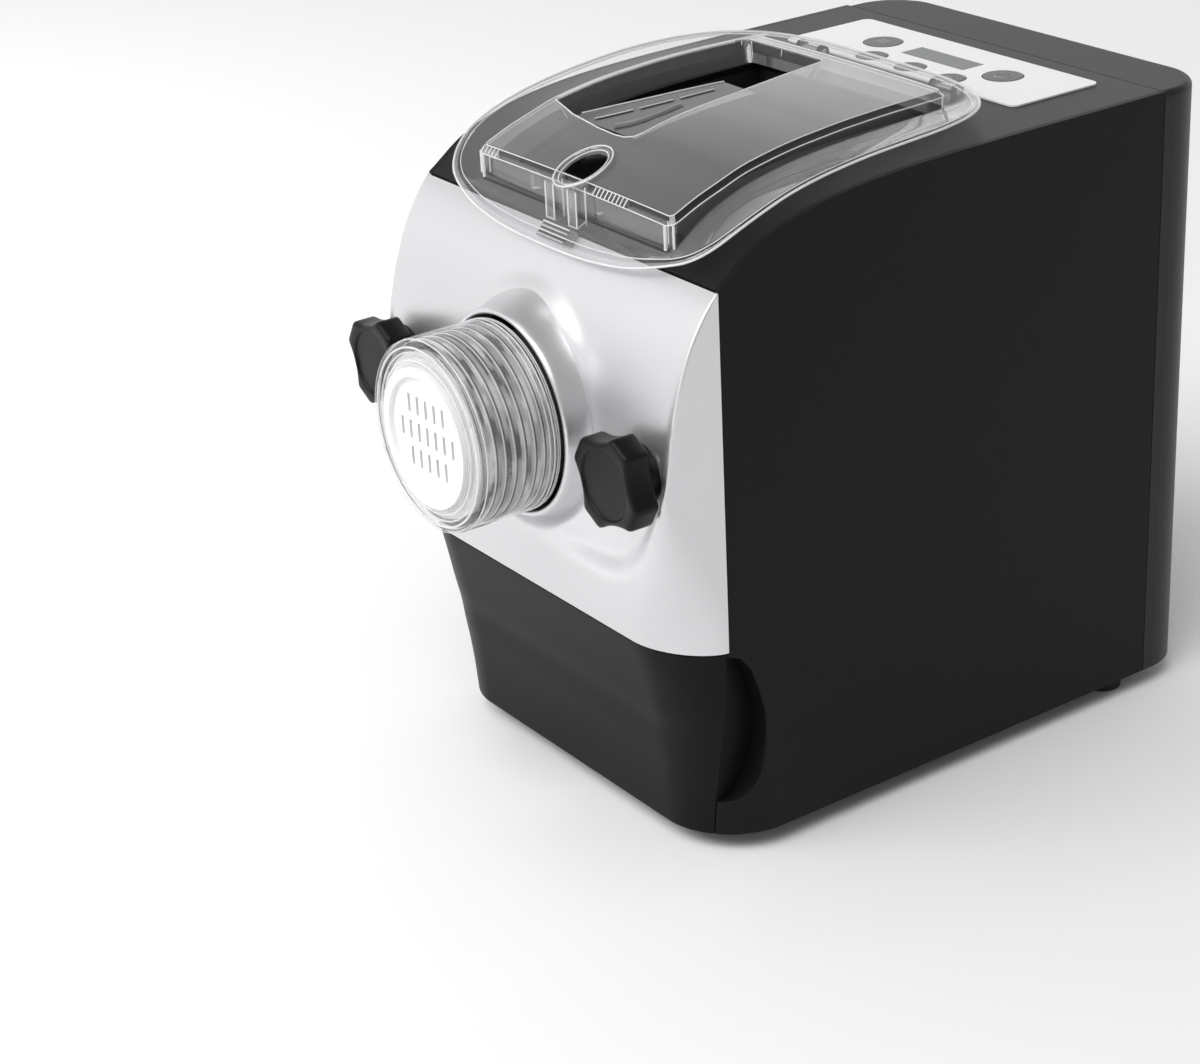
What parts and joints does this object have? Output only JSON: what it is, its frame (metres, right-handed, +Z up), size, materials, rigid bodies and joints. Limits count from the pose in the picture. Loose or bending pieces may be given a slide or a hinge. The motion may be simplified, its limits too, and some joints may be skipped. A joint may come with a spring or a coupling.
{
  "type": "electric pasta maker",
  "caption": "Electric pasta maker with hinged clear lid, screw nut and die, two clamp knobs, key panel, drawer and geared kneading drive.",
  "frame": {"origin": "centre of the footprint's bounding box, on the table", "axes": "+Z up, -Y towards the die and the front, +X to the right of someone facing the front"},
  "size_m": [0.2176, 0.352, 0.3009],
  "materials": {
    "silver_front": "satin",
    "black_side": "satin",
    "dark_deck": "satin",
    "dark_drawer": "satin",
    "clear_lid": "gloss",
    "clear_nut": "gloss",
    "white_die": "satin",
    "black_knob": "satin",
    "white_panel": "satin",
    "grey_button": "satin",
    "display_grey": "gloss",
    "black_rubber": "matte",
    "dark_chamber": "satin",
    "tray_plastic": "satin",
    "black_case": "satin",
    "steel": "satin",
    "brass": "satin",
    "white_gear": "satin",
    "grey_screw": "satin",
    "copper": "satin",
    "board_green": "satin",
    "seal_rubber": "matte",
    "bronze": "satin"
  },
  "bodies": {
    "housing": {"base_tray": "black_case", "rubber_feet": "black_rubber", "left_side_panel": "black_side", "right_side_panel": "black_side", "top_deck": "dark_deck", "rear_cover": "black_case", "front_plate": "silver_front", "drawer_bay_liner": "black_case", "drawer_runners": "tray_plastic", "power_inlet": "black_case", "inlet_pins": "brass", "front_frame": "tray_plastic", "knob_inserts": "brass", "mixing_chamber": "dark_chamber", "chamber_rear_seal": "seal_rubber", "extruder_barrel": "grey_screw", "barrel_gasket": "seal_rubber", "lid_hinge_brackets": "dark_deck", "lid_hinge_pins": "steel", "lid_switch": "tray_plastic", "control_panel": "white_panel", "display_window": "display_grey", "control_board": "board_green", "tact_switches": "black_case", "gearbox_housing": "tray_plastic", "gearbox_cover": "tray_plastic", "gearbox_bushes": "bronze", "case_screws": "steel", "motor_can": "steel", "motor_stator": "copper", "motor_bearings": "bronze", "drive_mount": "tray_plastic", "power_board": "board_green"},
    "drawer": {"drawer_front": "dark_drawer", "drawer_tray": "tray_plastic"},
    "die": {"die_plate": "white_die"},
    "nut": {"die_nut": "clear_nut"},
    "right_washer": {"right_knob_washer": "steel"},
    "left_washer": {"left_knob_washer": "steel"},
    "right_knob_turn": {"right_knob": "black_knob", "right_knob_stud": "steel"},
    "left_knob_turn": {"left_knob": "black_knob", "left_knob_stud": "steel"},
    "lid_body": {"lid": "clear_lid"},
    "latch": {"lid_latch": "clear_lid"},
    "plunger": {"lid_switch_plunger": "tray_plastic"},
    "power_key": {"power_button": "grey_button"},
    "program_key": {"program_button": "grey_button"},
    "minus_key": {"minus_button": "grey_button"},
    "start_key": {"start_button": "grey_button"},
    "plus_key": {"plus_button": "grey_button"},
    "output_drive": {"output_gear": "white_gear", "output_shaft": "steel", "feed_screw": "grey_screw", "kneading_bars": "grey_screw"},
    "idler_drive": {"idler_gear": "steel"},
    "motor_drive": {"motor_pinion": "brass", "motor_rotor": "steel", "motor_fan": "tray_plastic"}
  },
  "joints": [
    {"name": "drawer_slide", "type": "slide", "parent": "housing", "child": "drawer", "axis": [0, -1, 0], "range_m": [0, 0.12]},
    {"name": "die_slide", "type": "slide", "parent": "housing", "child": "die", "axis": [0, -1, 0], "range_m": [0, 0.012]},
    {"name": "nut_turn", "type": "hinge", "parent": "die", "child": "nut", "pos_m": [0, -0.155, 0.1855], "axis": [0, -1, 0], "range_deg": [0, 1080]},
    {"name": "right_washer_slide", "type": "slide", "parent": "housing", "child": "right_washer", "axis": [0, -1, 0], "range_m": [0, 0.008]},
    {"name": "right_knob_spin", "type": "hinge", "parent": "right_washer", "child": "right_knob_turn", "pos_m": [0.088, -0.14, 0.1855], "axis": [0, -1, 0], "range_deg": [0, 1800]},
    {"name": "left_washer_slide", "type": "slide", "parent": "housing", "child": "left_washer", "axis": [0, -1, 0], "range_m": [0, 0.008]},
    {"name": "left_knob_spin", "type": "hinge", "parent": "left_washer", "child": "left_knob_turn", "pos_m": [-0.088, -0.14, 0.1855], "axis": [0, -1, 0], "range_deg": [0, 1800]},
    {"name": "lid_hinge", "type": "hinge", "parent": "housing", "child": "lid_body", "pos_m": [0, 0.0715, 0.2932], "axis": [-1, 0, 0], "range_deg": [0, 75]},
    {"name": "latch_slide", "type": "slide", "parent": "lid_body", "child": "latch", "axis": [0, -0.6704, -0.742], "range_m": [0, 0.002], "stiffness_N_per_m": 60},
    {"name": "plunger_slide", "type": "slide", "parent": "housing", "child": "plunger", "axis": [0, 0, 1], "range_m": [0, 0.002]},
    {"name": "power_press", "type": "slide", "parent": "housing", "child": "power_key", "axis": [0, 0, -1], "range_m": [0, 0.0008], "stiffness_N_per_m": 250},
    {"name": "program_press", "type": "slide", "parent": "housing", "child": "program_key", "axis": [0, 0, -1], "range_m": [0, 0.0008], "stiffness_N_per_m": 250},
    {"name": "minus_press", "type": "slide", "parent": "housing", "child": "minus_key", "axis": [0, 0, -1], "range_m": [0, 0.0008], "stiffness_N_per_m": 250},
    {"name": "start_press", "type": "slide", "parent": "housing", "child": "start_key", "axis": [0, 0, -1], "range_m": [0, 0.0008], "stiffness_N_per_m": 250},
    {"name": "plus_press", "type": "slide", "parent": "housing", "child": "plus_key", "axis": [0, 0, -1], "range_m": [0, 0.0008], "stiffness_N_per_m": 250},
    {"name": "screw_spin", "type": "hinge", "parent": "housing", "child": "output_drive", "pos_m": [0, 0, 0.1855], "axis": [0, -1, 0], "continuous": true},
    {"name": "idler_spin", "type": "hinge", "parent": "housing", "child": "idler_drive", "pos_m": [0, 0.08, 0.136], "axis": [0, -1, 0], "continuous": true},
    {"name": "motor_spin", "type": "hinge", "parent": "housing", "child": "motor_drive", "pos_m": [0, 0.13, 0.1], "axis": [0, -1, 0], "continuous": true}
  ],
  "couplings": [
    {"joint": "die_slide", "follows": "nut_turn", "m_per_rad": 0.00063662},
    {"joint": "right_washer_slide", "follows": "right_knob_spin", "m_per_rad": 0.00025465},
    {"joint": "left_washer_slide", "follows": "left_knob_spin", "m_per_rad": 0.00025465},
    {"joint": "plunger_slide", "follows": "lid_hinge", "m_per_rad": 0.0015264},
    {"joint": "idler_spin", "follows": "screw_spin", "ratio": -3.125},
    {"joint": "motor_spin", "follows": "screw_spin", "ratio": 10.938}
  ]
}
